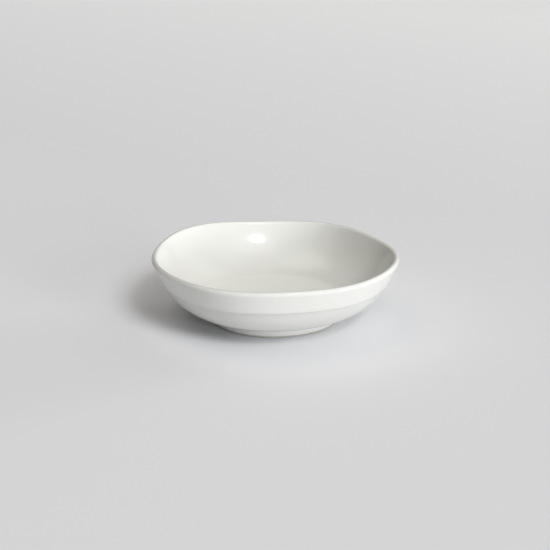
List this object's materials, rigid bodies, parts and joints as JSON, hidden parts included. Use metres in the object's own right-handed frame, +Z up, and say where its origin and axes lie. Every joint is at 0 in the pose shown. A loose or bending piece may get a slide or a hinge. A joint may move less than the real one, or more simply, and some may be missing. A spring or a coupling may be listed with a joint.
{
  "type": "side dish bowl",
  "caption": "Low stoneware side dish bowl with an uneven, hand-shaped outline, a stepped upper band and a rounded lip; it holds a small serving and stands flat on its foot ring.",
  "frame": {"origin": "middle of the bowl's outline, on the plane of the foot's standing face", "axes": "+Z up out of the bowl; -Y is the front that the picture shows, +X to its right"},
  "size_m": [0.1324, 0.1338, 0.0359],
  "materials": {
    "clay_body": "fired stoneware, matt, fully under the glaze",
    "bare_clay_foot": "bare fired stoneware, smoothed, matt",
    "satin_glaze": "satin white glaze, soft sheen",
    "base_pool_glaze": "satin white glaze, pooled towards the corner"
  },
  "bodies": {
    "root": {"stoneware_body": "clay_body", "foot_ring": "bare_clay_foot", "glaze_coat": "satin_glaze", "base_glaze": "base_pool_glaze"}
  },
  "joints": []
}
